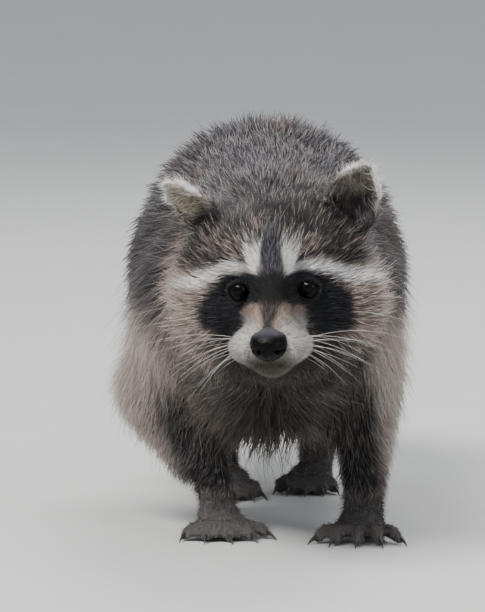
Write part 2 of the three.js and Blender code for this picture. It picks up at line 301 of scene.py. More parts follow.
flesh_places, flesh_faces = joined(list(solids.values()))
node_numbers = [number if node in FLESH else 0 for number, node in enumerate(solids)]
flesh_nodes = np.repeat(node_numbers, [len(faces) for _, faces in solids.values()])
blank_places = np.vstack([bridged(node) for node in solids])
blank = add_object("blank", mesh_from("blank", enlarge(blank_places), flesh_faces))
remesher = blank.modifiers.new("remesh", "REMESH")
remesher.mode = "VOXEL"
remesher.voxel_size = VOXEL * MM
graph = bpy.context.evaluated_depsgraph_get()
skin_mesh = bpy.data.meshes.new_from_object(blank.evaluated_get(graph))
skin_mesh.name = "skin"
bpy.data.objects.remove(blank)


def put_places(mesh, places):
    mesh.vertices.foreach_set("co", (places * MM).ravel())
    mesh.update()


put_places(skin_mesh, shrink_back(read_whole(skin_mesh.vertices, "co", 3) / MM))

# The muzzle gets one finer round of faces and the eyelids two.
eye_x, eye_y, eye_z = to_head(eye_centres["left"])
EYE_RADIUS = (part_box("eye_left")[1][2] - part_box("eye_left")[0][2]) / 2 / MM
shaper = bmesh.new()
shaper.from_mesh(skin_mesh)


def refine(lid_reach, muzzle):
    """Splits the edges of the faces this near to an eye and, if asked, of those on the muzzle."""
    middles = to_head(np.array([face.calc_center_median()[:] for face in shaper.faces]) / MM)
    mirrored = np.hstack([np.abs(middles[:, :1]), middles[:, 1:]])
    chosen = apart(mirrored, np.array([eye_x, eye_y, eye_z])) < lid_reach
    if muzzle:
        chosen |= (middles[:, 1] < -16) & (middles[:, 2] < 8)
    edges = {edge for face, pick in zip(shaper.faces, chosen) if pick for edge in face.edges}
    bmesh.ops.subdivide_edges(shaper, edges=list(edges), cuts=1, use_grid_fill=True)


refine(15, muzzle=True)
refine(12.5, muzzle=False)
whole, waiting = set(), [max(shaper.verts, key=lambda corner: corner.co.y)]
while waiting:
    corner = waiting.pop()
    if corner not in whole:
        whole.add(corner)
        waiting += [edge.other_vert(corner) for edge in corner.link_edges]
crumbs = [corner for corner in shaper.verts if corner not in whole]
bmesh.ops.delete(shaper, geom=crumbs, context="VERTS")
bmesh.ops.triangulate(shaper, faces=shaper.faces[:])
bmesh.ops.recalc_face_normals(shaper, faces=shaper.faces[:])
shaper.to_mesh(skin_mesh)
shaper.free()

skin_places = read_whole(skin_mesh.vertices, "co", 3) / MM
skin_faces = read_whole(skin_mesh.polygons, "vertices", 3, np.int64)
skin_edges = read_whole(skin_mesh.edges, "vertices", 2, np.int64)
links = np.bincount(skin_edges.ravel(), minlength=len(skin_places)).astype(float)


def spread(values, rounds, share=0.5):
    """Lets a value at each vertex of the skin even out with its neighbours'."""
    values = np.array(values, dtype=float)
    flat = values.reshape(len(values), -1)
    a, b = skin_edges.T
    for _ in range(rounds):
        for column in flat.T:
            around = np.bincount(a, column[b], len(flat)) + np.bincount(b, column[a], len(flat))
            column += share * (around / links - column)
    return flat.reshape(values.shape)


def eased(places, amount, rounds, shares=(0.5,)):
    """The skin smoothed by this amount at each vertex; a second, negative share keeps its bulk."""
    for share in shares * rounds:
        places = places + amount[:, None] * (spread(places, 1, share) - places)
    return places


# Which node each vertex lies on.
flesh_tree = BVHTree.FromPolygons(flesh_places.tolist(), flesh_faces.tolist())
skin_node = flesh_nodes[[flesh_tree.find_nearest(place)[2] for place in skin_places.tolist()]]


def on(*words):
    """Vertices of the skin that lie on nodes whose names start with one of these words."""
    return np.isin(skin_node, [number for number, node in enumerate(FLESH) if node.startswith(words)])


def set_on(values, table):
    """Gives the vertices on each row's nodes that row's value."""
    for words, new in table:
        chosen = on(*words)
        values[chosen] = np.broadcast_to(new, values.shape)[chosen]


def ramp(values, low, high):
    """0 below low, 1 above high, smooth between."""
    share = np.clip((values - low) / (high - low), 0, 1)
    return share * share * (3 - 2 * share)


def fade(values, low, high):
    """1 below low, 0 above high, smooth between."""
    return 1 - ramp(values, low, high)


def hump(offset, width):
    """1 where the offset is nothing, falling away to either side over about this width."""
    return np.exp(-((offset / width) ** 2))


# Under the throat the hide runs straight from jaw to chest, and only hair hangs below it.
THROAT = np.array([18.0, -245.0, 96.0])
keel = np.interp(skin_places[:, 1], [-300, -280, -250, -230, -210, -200], [115, 112, 104, 98, 86, 80])
hangs = on("head", "neck", "trunk") & (skin_places[:, 2] < keel)
hangs &= np.abs(skin_places[:, 1] + 250) < 48
skin_places[:, 2] = np.where(hangs, keel - 0.08 * (keel - skin_places[:, 2]), skin_places[:, 2])
skin_places = eased(skin_places, hump(apart(skin_places, THROAT), 42), 140)

# Stubs that the remeshing leaves stand off from their surroundings, and are smoothed away.
stands_off = apart(skin_places, spread(skin_places, 10))
toes = on("forepaw", "hindpaw")
for node in PAWS:
    toes &= ~(on(node) & (skin_places[:, 1] > centre_of(node)[1]))
stub = ramp(stands_off, 0.9, 1.8) * ~(toes | on("ear", "tail"))
skin_places = eased(skin_places, np.clip(3 * spread(stub, 4), 0, 1), 50)
BRIDGE_DIP = np.array([-1, -34, -4])
on_bridge = on("head") * hump(apart(to_head(skin_places), BRIDGE_DIP), 11)
skin_places = eased(skin_places, on_bridge, 70)

# Depth of the coat over the skin.
THIN_SHARE = 0.38  # of the body's thickness at that place, the most that may be coat on either side
in_head = to_head(skin_places)
from_nose = apart(in_head, NOSE_TIP)
height = skin_places[:, 2]
cheek = ramp(np.abs(in_head[:, 0]), 25, 50) * ramp(in_head[:, 1], 0, 25) * fade(in_head[:, 2], 0, 25)
coat_depth = np.zeros(len(skin_places))
set_on(coat_depth, (
    (("head",), 4.5 * cheek + np.interp(
        from_nose, [0, 11, 16, 40, 62, 85, 115, 150], [5.5, 5.5, 1.3, 1.6, 2.6, 4.8, 7.5, 11])),
    (("neck",), 11),
    (("trunk",), 12),
    (("tail",), 13 + 10 * ramp(skin_places[:, 1], 325, 372)),
    (("foreleg", "hindleg"), np.interp(height, [24, 40, 55, 100, 150], [2.4, 3.4, 4.6, 7, 11])),
    (("forepaw", "hindpaw"), np.interp(height, [10, 40], [1.0, 3.0])),
    (("ear",), 0.8),
))
skin_tree = BVHTree.FromPolygons(skin_places.tolist(), skin_faces.tolist())
inward = -vertex_normals(skin_places, skin_faces)
starts = skin_places + 0.5 * inward
hits = [skin_tree.ray_cast(start, way) for start, way in zip(starts.tolist(), inward.tolist())]
thickness = np.array([hit[3] if hit[0] is not None else 100 for hit in hits])
coat_depth = np.minimum(spread(coat_depth, 14), THIN_SHARE * spread(thickness, 6))
coat_depth = spread(coat_depth, 6)

# Wrists, heels, the surroundings of the eyes, and the ears' rims and roots are eased first.
at_wrist = on("foreleg", "hindleg", "forepaw", "hindpaw") * ramp(height, 22, 32) * fade(height, 46, 60)
at_heel = on("hindpaw", "hindleg") * fade(height, 55, 75) * ~toes
skin_places = eased(eased(skin_places, at_wrist, 6), at_heel, 24)
to_eye = np.min([apart(skin_places, centre) for centre in eye_centres.values()], axis=0)
skin_places = eased(skin_places, fade(to_eye, 13, 18), 16)
skin_places = eased(skin_places, on("ear"), 20, (0.5, -0.35))
at_ear_root = np.clip(4 * spread(on("ear"), 7) * spread(~on("ear"), 7), 0, 1)
skin_places = eased(skin_places, at_ear_root, 14)
ease = ramp(coat_depth, 2.5, 7.0)  # only where the coat is deep may the skin be smoothed
skin_places = eased(skin_places, ease, 40, (0.5, -0.52))
INSET_STEPS = 8
for _ in range(INSET_STEPS):
    inward = vertex_normals(skin_places, skin_faces)
    inward += ease[:, None] * (unit(spread(inward, 14)) - inward)
    skin_places = skin_places - inward * (coat_depth / INSET_STEPS)[:, None]
    skin_places = skin_places + ease[:, None] * (spread(skin_places, 2, 0.4) - skin_places)
height = skin_places[:, 2]

# Eyelids: the skin hugs the eyeball, with a rounded edge, and tucks in behind it inside the opening.
LID_THICKNESS = 0.9
TUCK = 2.4
LID_OPENING = 43.0  # degrees from the middle of the opening to its edge
opening = np.full(len(skin_places), 180.0)  # degrees outside the edge of the nearest eye's opening
for side in (1, -1):
    eye_in_head = np.array([side * eye_x, eye_y, eye_z])
    way = unit(to_head(skin_places) - eye_in_head)
    outward = unit(np.array([side * 0.03, -1, -0.02]))
    across = unit(np.cross(np.array([0, 0, 1.0]), -outward)) * side
    upward = np.cross(outward, across) * side
    angle = np.degrees(np.arccos(np.clip(way @ outward, -1, 1)))
    turn = np.arctan2(way @ upward, way @ across)
    inner_corner = hump(np.arctan2(np.sin(turn - 3.35), np.cos(turn - 3.35)), 0.34)
    outer_corner = hump(turn - 0.1, 0.4)
    beyond = angle - (LID_OPENING + 8 * inner_corner + 3.0 * outer_corner - 3.0 * np.sin(turn) ** 2)
    centre = from_head(eye_in_head)
    reach = apart(skin_places, centre)
    close = (reach < 2.1 * EYE_RADIUS) & (angle < 100)
    hug = EYE_RADIUS + LID_THICKNESS * (1 - 0.5 * np.exp(-np.clip(beyond, 0, None) / 5))
    even = spread(reach, 8)
    even += (reach - even) * ramp(beyond, 35, 60)
    settled = hug + (even - hug) * ramp(beyond, 6, 50)
    settled = np.where(beyond < 0, EYE_RADIUS - TUCK * ramp(-beyond, 0, 3), settled)
    lid = centre + unit(skin_places - centre) * settled[:, None]
    skin_places = np.where(close[:, None], lid, skin_places)
    opening = np.where(close, np.minimum(opening, beyond), opening)

# Toes: each ends where its claw begins, and the solid's claw is drawn back into it.
TOE_SPOKE = 65.0  # from the point where the toes' lines meet to the tip of the middle claw
CLAW_LENGTH = 11.0
claws_at = []
for node in PAWS:
    paw_places, paw_faces = solids[node]
    ball = centre_of(node)[:2]
    reach = apart(paw_places[:, :2], ball)
    furthest = reach.copy()
    for a, b in ((0, 1), (1, 2), (2, 0), (1, 0), (2, 1), (0, 2)):
        np.maximum.at(furthest, paw_faces[:, a], reach[paw_faces[:, b]])
    peaks = (furthest == reach) & (paw_places[:, 1] < ball[1]) & (paw_places[:, 2] < 1)
    tips = paw_places[peaks]
    tips = tips[np.argsort(tips[:, 0])]
    chord = tips[-1] - tips[0]
    heading = unit(np.array([chord[1], -chord[0], 0]))
    pivot = tips[len(tips) // 2] - TOE_SPOKE * heading
    for tip in tips:
        way = unit((tip - pivot) * [1, 1, 0])
        claws_at.append((tip, way))
        off = skin_places - tip
        ahead_of_tip = off @ way
        beside = np.linalg.norm(off - ahead_of_tip[:, None] * way, axis=1)
        drawn = np.clip(ahead_of_tip + CLAW_LENGTH - 1.5, 0, None) * (beside < 9) * (ahead_of_tip < 6)
        skin_places = skin_places - 0.93 * drawn[:, None] * way

skin_places[:, 2] = np.maximum(skin_places[:, 2], FLOOR_GAP)
put_places(skin_mesh, skin_places)
skin_normals = vertex_normals(skin_places, skin_faces)
in_head = to_head(skin_places)
from_nose = apart(in_head, NOSE_TIP)

# How much of each part of the body there is at each vertex, and the lie of the ears: the rim, the
# front, the root of the hollow (where painted shade darkens it), the base, and the foot that belongs to
# the crown.
parts = {word: spread(on(word), 4) for word in ("ear", "tail", "foreleg", "hindleg")}
parts.update({word: spread(on(word), 8) for word in ("head", "neck")})
ear_shares = {word: np.zeros(len(skin_places)) for word in ("rim", "front", "root", "base", "foot")}
ear_flow = np.zeros((len(skin_places), 3))
for side in ("left", "right"):
    here = on(f"ear_{side}")
    leaf = skin_places[here] - skin_places[here].mean(0)
    long_axis, wide_axis, thin_axis = np.linalg.svd(leaf, full_matrices=False)[2]
    long_axis = long_axis * np.sign(long_axis @ (skin_places[here].mean(0) - between_eyes))
    thin_axis = thin_axis * np.sign(-thin_axis @ head_y)
    along, across = leaf @ long_axis, leaf @ wide_axis
    rows = np.linspace(along.min(), along.max(), 15)
    spans = [across[np.abs(along - row) < 3.0] for row in rows]
    across -= np.interp(along, rows, [(span.max() + span.min()) / 2 for span in spans])
    half_widths = [(span.max() - span.min()) / 2 for span in spans]
    edge_share = np.abs(across) / np.interp(along, rows, half_widths)
    to_outside = across * np.sign(wide_axis[0]) * (1 if side == "left" else -1)
    foot, tip = along.min(), along.max()
    tall = tip - foot
    front = ramp(skin_normals[here] @ thin_axis, -0.2, 0.3)
    # The root of the hollow is where painted shade is laid later.
    root = fade(along, foot + 0.48 * tall, foot + 0.74 * tall)
    ear_shares["rim"][here] = np.maximum(ramp(edge_share, 0.78, 0.9), ramp(along, tip - 4.5, tip - 1.5))
    ear_shares["front"][here] = front
    ear_shares["root"][here] = root * fade(edge_share, 0.6, 0.9) * ramp(to_outside, -9, -2)
    ear_shares["base"][here] = fade(along, foot + 0.12 * tall, foot + 0.5 * tall)
    ear_shares["foot"][here] = fade(along, foot + 0.12 * tall, foot + 0.3 * tall)
    spray = wide_axis * (np.sign(across) * edge_share**2)[:, None] * 0.9
    ear_flow[here] = long_axis + spray + 0.25 * thin_axis * front[:, None]
parts.update({f"ear_{word}": share for word, share in ear_shares.items()})


def waves(places, scale, seed):
    """A smooth wandering value from -1 to 1 at each place, changing over about this many mm."""
    rng = np.random.default_rng(seed)
    total = np.zeros(len(places))
    for _ in range(6):
        total += np.sin(places @ (unit(rng.normal(size=3)) * 2.2 / scale) + rng.uniform(0, 6.3))
    return total / 3.2


def either(test, yes, no):
    return np.where(test[:, None], yes, no)


def lay(base, colour, amount):
    return base + (np.asarray(colour) - base) * amount[:, None]


# Markings, in millimetres in the head's own frame, tipped to the slope of the face, with some painted
# light and shade among them. Each function dyes one region over what is there already.
NIGHT = (0.018, 0.018, 0.023)
CREAM = (0.76, 0.66, 0.59)
BUFF = (0.46, 0.375, 0.345)
SOOT = (0.03, 0.027, 0.028)
FACE_SLOPE = math.radians(13)
ALL, ROOT, MIDDLE, TIP, LOWER = (1, 1, 1), (1, 0, 0), (0, 1, 0), (0, 0, 1), (1, 1, 0)


class Hairs:
    """Hairs to be dyed: the places where they are seen, which way the hide faces there, how much of
    each part of the body it is, and a random number for the luck of each."""

    def __init__(self, places, normals, part, luck):
        self.places, self.normals, self.part, self.luck = places, normals, part, luck
        self.head, self.height, self.up = part["head"], places[:, 2], normals[:, 2]
        self.face = to_head(places)
        self.x, self.y = np.abs(self.face[:, 0]), self.face[:, 1]
        self.z = self.face[:, 2] * math.cos(FACE_SLOPE) + self.y * math.sin(FACE_SLOPE)
        self.side = np.abs(places[:, 0] - BODY_MIDDLE)
        self.outer = ramp(normals[:, 0] * np.sign(places[:, 0] - BODY_MIDDLE), 0.25, 0.8)
        self.wobble, self.patch = waves(places, 5, 11), waves(places, 30, 12)
        self.shades = np.zeros((3, len(places), 3))  # of root, middle and tip

    def dye(self, colour, amount, shares=ALL):
        """Lays a colour on this amount, with its own share for root, middle and tip."""
        for strand, share in enumerate(shares):
            self.shades[strand] = lay(self.shades[strand], colour, amount * np.asarray(share))


def dye_body(hair):
    """Grizzled, darkest along the back with patches of rust, pale on the flanks, brown below."""
    up, luck, patch = hair.up, hair.luck, hair.patch
    flank = ramp(-up, -0.75, 0.1) * fade(hair.height + 6 * patch, 128, 172)
    ridge = ramp(up, 0.35, 0.85)
    pale = luck < 0.32 + 0.26 * ridge + 0.36 * flank + 0.14 * patch
    rust = ramp(waves(hair.places, 22, 14) + 0.5 * (luck - 0.5), 0.1, 0.7) * (1 - flank)
    hair.shades[:] = np.array([(0.04, 0.035, 0.037), (0.052, 0.046, 0.052), (0.26, 0.235, 0.25)])[:, None]
    hair.dye((0.19, 0.155, 0.14), flank, MIDDLE)
    hair.dye((0.15, 0.1, 0.08), 0.6 * rust, MIDDLE)
    hair.dye((0.6, 0.56, 0.575), ridge, TIP)
    hair.dye((0.46, 0.35, 0.29), 0.55 * rust, TIP)
    hair.dye(CREAM, flank, TIP)
    hair.dye(SOOT, 1.0 * ~pale, TIP)
    hair.dye((0.085, 0.068, 0.054), ramp(-up, 0.45, 0.9) * 0.85)


def dye_tail(hair):
    """Dark rings on grizzled buff, and a dark end."""
    tail, y = hair.part["tail"], hair.places[:, 1]
    ring = np.sin((y - 152) / 18.0 * math.pi / 2 + 0.35 * hair.wobble)
    hair.dye((0.33, 0.27, 0.22), tail * 0.6, (0, 1, 1))
    hair.dye(SOOT, tail * np.maximum(ramp(ring, -0.1, 0.3), ramp(y, 330, 340)) * 0.92)


def dye_ruff(hair):
    """The sides of the neck, cream with darker streaks."""
    ruff = hair.part["neck"] * ramp(hair.side, 30, 46)
    ruff = ruff * fade(hair.height, 196, 214) * ramp(hair.height, 122, 140)
    hair.dye((0.44, 0.35, 0.3), ruff * 0.8, MIDDLE)
    hair.dye(either(hair.luck < 0.68, CREAM, (0.1, 0.08, 0.07)), ruff, TIP)


def dye_legs(hair):
    """Near black in front, with a pale fringe on the outer side, and brown-black paws."""
    foreleg, hindleg, outer = hair.part["foreleg"], hair.part["hindleg"], hair.outer
    dark_leg = (foreleg + hindleg) * (1 - 0.9 * outer) * (1 - 0.45 * hindleg)
    hair.dye(SOOT, dark_leg, LOWER)
    hair.dye(either(hair.luck < 0.3, (0.36, 0.34, 0.33), SOOT), dark_leg, TIP)
    fringe = foreleg * outer * ramp(hair.height, 30, 60) * fade(hair.height + 5 * hair.patch, 124, 160)
    hair.dye(CREAM, fringe, (0, 0.6, 0.92))
    paw = fade(hair.height + 5 * hair.wobble, 12, 34)
    paw_shade = either(hair.luck < 0.45, (0.27, 0.25, 0.24), (0.085, 0.077, 0.075))
    for dim, strand in ((0.6, ROOT), (0.85, MIDDLE), (1, TIP)):
        hair.dye(paw_shade * dim, paw, strand)


def dye_throat(hair):
    """Throat and chest: dark, with a few pale hairs."""
    across, back, _ = hair.places.T
    throat = fade(hair.height - 0.25 * hair.side - 9 * fade(hair.side, 12, 34), 117, 130)
    throat = throat * ramp(hair.height, 45, 70) * fade(back, -190, -150)
    throat *= ramp(across, -42, -22) * fade(across, 62, 74)
    throat *= 1 - 0.7 * hair.part["foreleg"] * hair.outer
    pale = hair.luck < 0.22
    hair.dye((0.034, 0.029, 0.023), throat * 0.95, LOWER)
    hair.dye(either(pale, (0.42, 0.36, 0.31), (0.08, 0.066, 0.05)), throat * np.where(pale, 1, 0.95), TIP)


def dye_crown(hair):
    """Crown, forehead and nape: buff hairs strewn among soot-black ones."""
    x, y, z = hair.x, hair.y, hair.z
    gloom = hump(x - 2 - 0.9 * np.clip(z - 20, 0, 60), 8) * ramp(z, 14, 26) * (1 - 0.8 * ramp(z, 28, 40))
    by_ear = np.exp(-((np.abs(x - 42) / 12) ** 2) - (((y - 52) / 14) ** 2)) * ramp(z, 25, 40)
    nape = hair.part["neck"] * ramp(-hair.places[:, 1], 200, 232) * ramp(hair.height, 176, 194)
    brow = ramp(z, 17, 22) * fade(z, 32, 44) * fade(x, 22, 34)
    pale_share = 0.21 + 0.05 * hair.patch + 0.08 * waves(hair.places, 8, 13) - 0.25 * gloom
    pale_share += 0.12 * brow + 0.22 * nape - 0.1 * ramp(z, 34, 44) - 0.3 * by_ear
    pale = hair.luck < pale_share
    crown = np.clip(hair.head + 0.75 * nape, 0, 1)
    hair.dye((0.026, 0.023, 0.024), crown, ROOT)
    hair.dye(either(pale, (0.18, 0.14, 0.12), (0.022, 0.02, 0.021)), crown, MIDDLE)
    hair.dye(either(pale, (0.64, 0.52, 0.46), (0.012, 0.011, 0.012)), crown, TIP)


def dye_cheeks(hair):
    """Tan beside the mask, cream out to the ruff, streaked with brown below, partly as painted shade
    under the cheeks.
    """
    x, z = hair.x, hair.z
    beside = ramp(x + 0.5 * np.clip(hair.y - 35, 0, 50), 36, 46) * fade(z, 8, 17) * ramp(z, -66, -42)
    lower = ramp(x, 26, 40) * fade(z, -34, -26) * ramp(z, -66, -50)
    cheek = hair.head * np.maximum(beside, lower)
    # Below z = -30 fewer hairs are pale: partly the cheeks' own brown streaks, partly painted shade
    # beneath the cheek ruff.
    streak = hair.luck < np.where(z < -30, 0.22 + 0.4 * ramp(x, 36, 58), 0.76)
    hair.dye((0.12, 0.092, 0.078), cheek * 0.8, ROOT)
    hair.dye((0.46, 0.37, 0.32), cheek * np.where(streak, 0.9, 0.25), MIDDLE)
    hair.dye(either(streak, (0.7, 0.59, 0.51), (0.09, 0.07, 0.06)), cheek, TIP)


def dye_brows(hair):
    """White over the eyes, an upright flame and a sweep out over the mask; a dark stripe between."""
    x, y, z, luck, wobble = hair.x, hair.y, hair.z, hair.luck, hair.wobble
    flame_width = np.interp(z, [7, 12, 17, 25, 34], [1.2, 2.6, 4.2, 5.2, 7.5])
    flame = fade(np.abs(x - 11.3 - 0.4 * wobble), flame_width - 0.9, flame_width + 1.1)
    flame *= ramp(z, 6, 9) * fade(z + 11 * (luck - 0.5), 20 + 2 * wobble, 33)
    sweep_at = np.interp(x, [14, 22, 31, 38, 45, 60], [13.5, 14.5, 13.6, 10.5, 7, 5])
    off_sweep = np.abs(z - sweep_at - 0.8 * wobble) + 1.6 * (luck - 0.5) - 0.03 * np.clip(x - 30, 0, 40)
    sweep = fade(off_sweep, 1.2, 5.2)
    sweep *= np.interp(x, [12, 16, 24, 50, 64], [0.1, 0.55, 1, 1, 0.5]) * fade(y, 34, 50)
    white = hair.head * np.maximum(flame, sweep)
    hair.dye((0.94, 0.92, 0.91), white, (0.6, 0.92, np.where(luck < 0.28, 0.1, 1)))
    stripe = hair.head * fade(x, 3.4, 6.4) * ramp(z, 4, 10) * fade(z, 26, 46) * fade(y, 25, 40)
    hair.dye((0.028, 0.028, 0.035), stripe, LOWER)
    hair.dye((0.075, 0.075, 0.098), stripe, TIP)
    hair.dye((0.36, 0.35, 0.4), stripe * (luck < 0.26), TIP)


def dye_muzzle(hair):
    """White, greyer below as painted shade, flecked with brown, and tan on either side of the dark
    bridge, laid thinner on the animal's left as painted light.
    """
    x, y, z, head, luck = hair.x, hair.y, hair.z, hair.head, hair.luck
    muzzle = head * fade(apart(hair.face, NOSE_TIP) + 3 * hair.wobble, 42, 58) * fade(z, -13, -7)
    hair.dye((0.8, 0.775, 0.755), muzzle, (0.8, 0.92, 1))
    hair.dye((0.52, 0.4, 0.33), muzzle * ramp(z, -38, -16) * np.where(luck < 0.7, 0.45, 0.25))
    # Painted shade: the lower muzzle is laid greyer, standing in for the shade beneath it.
    hair.dye((0.4, 0.365, 0.32), 0.6 * (muzzle * ramp(-z, 29, 40)))
    hair.dye((0.13, 0.1, 0.085), np.where(luck < 0.26, 0.55 + 0.4 * ramp(z, -38, -20), 0) * muzzle)
    low = np.interp(x, [4, 12, 18], [-27, -21, -16])
    blush = head * ramp(z - low, -4, 9) * fade(z, -10, -5) * fade(x, 17, 21) * fade(y, 5, 15)
    speckle = np.where(luck < 0.5, 0.85, np.where(luck < 0.75, 0.5, 1.0))
    # Painted light: on the animal's left (x above 0) the tan is laid only 0.8 as strongly, so that side
    # shows paler, as if more lit.
    hair.dye((0.46, 0.32, 0.24), blush * (speckle * np.where(hair.face[:, 0] > 0, 0.8, 1)))
    hair.dye((0.07, 0.055, 0.05), np.where(luck > 0.76, 0.85, 0) * blush)
    wide = np.interp(z, [-30, -22, -14, -8], [2.5, 3.0, 4.6, 6.5])
    bridge = head * fade(x - wide, -1.5, 2.5) * ramp(z, -33, -28) * fade(z, -10, -4) * fade(y, 5, 15)
    hair.dye(either(luck < 0.3, (0.16, 0.13, 0.12), (0.026, 0.022, 0.023)), 0.95 * bridge)


def dye_jaw(hair):
    """A yellowish chin below the black line of the lips, and a dark underside to the jaw."""
    x, y, z, head = hair.x, hair.y, hair.z, hair.head
    chin = head * fade(x, 9, 17) * ramp(-z, 43, 48) * ramp(-y, 15, 30)
    hair.dye((0.62, 0.54, 0.38), chin * 0.8)
    lip_at = np.interp(y, [-54, -45, -30, -12], [-37.5, -38.5, -37.5, -33])
    lip = head * hump(hair.face[:, 2] - lip_at, 0.8) * fade(y, -20, -10) * ramp(x, 3, 6)
    hair.dye((0.025, 0.02, 0.018), lip * 0.8)
    facing_down = ramp(-hair.up, 0.15, 0.55) * ramp(y, -40, -26)
    jaw = head * np.maximum(ramp(-z - 0.12 * y, 46, 53), facing_down) * fade(x, 28, 46) * (1 - 0.1 * chin)
    hair.dye((0.024, 0.021, 0.017), jaw * 0.95, LOWER)
    hair.dye(either(hair.luck < 0.05, (0.34, 0.29, 0.25), (0.034, 0.029, 0.023)), jaw, TIP)


def dye_mask(hair):
    """The black mask round the eyes, with a few grey tips, and the brown-black between them."""
    x, y, z, wobble = hair.x, hair.y, hair.z, hair.wobble
    top = np.interp(x, [6, 12, 25, 33, 38, 43, 50], [8, 9.5, 9.5, 6.5, 2.5, -3, -10])
    bottom = np.interp(x, [6, 12, 19, 23.8, 27, 31, 40, 48], [-8, -9.5, -12.5, -22, -28, -29.5, -26, -21])
    edge = np.minimum(top - z, z - bottom) + 1.2 * wobble
    outside = 49 + 1.5 * wobble
    mask = hair.head * ramp(edge, -1.2, 1.4) * fade(x, outside - 4, outside + 1) * fade(y, 34, 46)
    hair.dye(NIGHT, mask, LOWER)
    hair.dye(either(hair.luck < 0.14, (0.13, 0.13, 0.145), NIGHT), mask, TIP)
    between = hair.head * fade(x, 6, 9.5) * ramp(z, -12, -7) * fade(z, 5, 12) * fade(y, 15, 25)
    hair.dye((0.021, 0.019, 0.018), between)


def dye_ears(hair):
    """White rims, buff at the foot and dark backs; the hollows and the opening in front of each ear's
    foot are painted dark as painted shade, and the right one's inside is painted paler as painted light.
    """
    luck, on_right = hair.luck, hair.face[:, 0] < 0
    ear, rim, front, root, base, foot = (
        hair.part[word] for word in ("ear", "ear_rim", "ear_front", "ear_root", "ear_base", "ear_foot"))
    back = either(luck < 0.3, BUFF, (0.06, 0.054, 0.052))
    # Painted light: the right ear's inside gets more pale hairs, 3.2 times the brightness and a hollow
    # half as dark, for the light falling into it; otherwise both ears are alike.
    pale_inside = luck < np.where(on_right, 0.5, 0.36)
    inside = either(pale_inside, (0.2, 0.175, 0.142), (0.03, 0.026, 0.021)) * either(on_right, 3.2, 1)
    shade = lay(back, inside, front)
    # Painted shade: the root of the hollow is painted near black, for the shade deep in the ear's cup;
    # half as dark in the right ear.
    shade = lay(shade, (0.004, 0.0035, 0.003), root * front * np.where(on_right, 0.5, 1))
    rim_shade = lay(np.tile((0.9, 0.88, 0.86), (len(luck), 1)), (0.36, 0.27, 0.21), base)
    shade = lay(shade, rim_shade, rim * np.where(luck < 0.2 + 0.4 * base, 0.4, 1))
    hair.dye(shade, ramp(ear, 0.3, 0.7) * (1 - foot))
    # Painted shade: a near black patch before each ear's foot, on hide facing forward, stands in for the
    # shade in the ear's opening.
    pit = (hair.head + ear) * fade(np.hypot(hair.x - 48, (hair.z - 42.5) / 1.5), 3.5, 9)
    hair.dye((0.008, 0.007, 0.006), pit * ramp(-hair.normals @ head_y, 0.0, 0.4) * 0.92)


def hair_colours(places, normals, part, luck):
    """Colours of the root, middle and tip of hairs seen at these places."""
    hair = Hairs(places, normals, part, luck)
    for dye in (dye_body, dye_tail, dye_ruff, dye_legs, dye_throat, dye_crown, dye_cheeks,
                dye_brows, dye_muzzle, dye_jaw, dye_mask, dye_ears):
        dye(hair)
    return hair.shades


def paint(mesh, colours):
    layer = mesh.color_attributes.new("hair_colour", "FLOAT_COLOR", "POINT")
    colours = np.hstack([colours, np.ones((len(colours), 1))])
    layer.data.foreach_set("color", colours.astype(np.float32).ravel())


def painted(finish):
    return add_node(finish, "Attribute", attribute_name="hair_colour").outputs["Color"]


def hair_finish(name, roughness, shine, bump_scale, bump_strength):
    """Colour from the markings, broken up by fine noise, with a satin sheen and a fine grain."""
    finish, shader = start_finish(name, {"Roughness": roughness, "Specular IOR Level": shine})
    place = add_node(finish, "TexCoord").outputs["Object"]
    grain = add_node(finish, "TexNoise", {"Vector": place, "Scale": bump_scale, "Detail": 3})
    grain = grain.outputs["Fac"]
    limits = {"From Min": 0.25, "From Max": 0.75, "To Min": 0.78, "To Max": 1.2}
    level = add_node(finish, "MapRange", {"Value": grain, **limits}).outputs["Result"]
    mixed = add_node(finish, "VectorMath", {0: painted(finish), "Scale": level}, operation="SCALE")
    bump = add_node(finish, "Bump", {"Strength": bump_strength, "Distance": 0.0004, "Height": grain})
    connect(finish, shader, {"Base Color": mixed.outputs["Vector"], "Normal": bump.outputs["Normal"]})
    return finish


skin_shade = np.zeros((len(skin_places), 3))
for luck in (0.1, 0.3, 0.5, 0.7, 0.9):
    root, middle, _ = hair_colours(skin_places, skin_normals, parts, np.full(len(skin_places), luck))
    skin_shade += 0.08 * (root + middle)
skin_shade = lay(skin_shade, (0.005, 0.0045, 0.005), fade(opening, 8, 24))
paint(skin_mesh, skin_shade)
skin_mesh.materials.append(hair_finish("hide", 0.75, 0.08, 1400, 0.5))
skin = add_object("skin", skin_mesh)
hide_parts(*FLESH)
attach(skin, "root")

# ---------------------------------------------------------------------------------------------
# Fur of the head: hair, short and close on the muzzle, denser over the crown and longer on the
# cheeks. Each lock is a thin closed needle of many hairs, rooted just under the hide; the long
# ones bend over so that they lie along the body.

REACH_PAST_SOLIDS = 4  # no hair goes further than this past the box of the solids
ROOT_DEPTH = 0.4
LEAST_LIFT, MOST_LIFT = 0.12, 0.5  # sine of the angle at which hair leaves the skin
BAKE_PATCH = 0.003  # size of a lock's place on the unwrapped skin
BAKE_CORNERS = [(-0.5, -0.5), (0.5, -0.5), (0, -0.35), (-0.3, 0), (0.3, 0), (0, 0.1)]
BAKE_TIP = (0, 0.5)


def lie_flat(directions, normals):
    return unit(directions - normals * np.sum(directions * normals, axis=1, keepdims=True))


